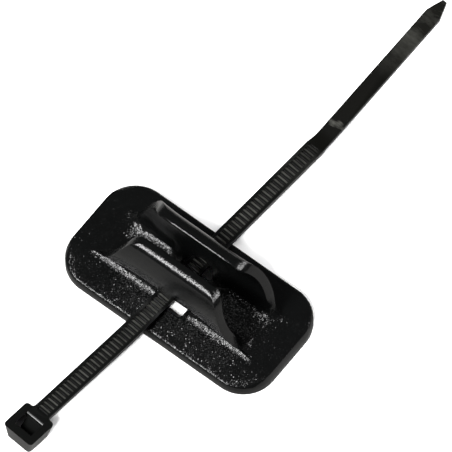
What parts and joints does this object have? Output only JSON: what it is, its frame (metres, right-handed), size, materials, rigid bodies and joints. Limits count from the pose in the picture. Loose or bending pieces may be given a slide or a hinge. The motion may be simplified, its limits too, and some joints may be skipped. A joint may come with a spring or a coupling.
{
  "type": "adhesive cable guide",
  "caption": "Stick-on cable guide: a rounded plate carries an open channel whose walls close in at the mouth, and a cable tie threaded under the channel straps the cable down.",
  "frame": {"origin": "middle of the plate's underside, on the face that sticks to a surface", "axes": "+X along the channel, +Y across it towards the tie's tail, +Z away from the surface the plate sticks to"},
  "size_m": [0.0592, 0.1487, 0.0219],
  "materials": {
    "guide": "black moulded plastic with a fine spark-eroded texture",
    "cable_tie": "black moulded nylon, smooth and satin"
  },
  "bodies": {
    "root": {"guide": "guide", "cable_tie": "cable_tie"}
  },
  "joints": []
}
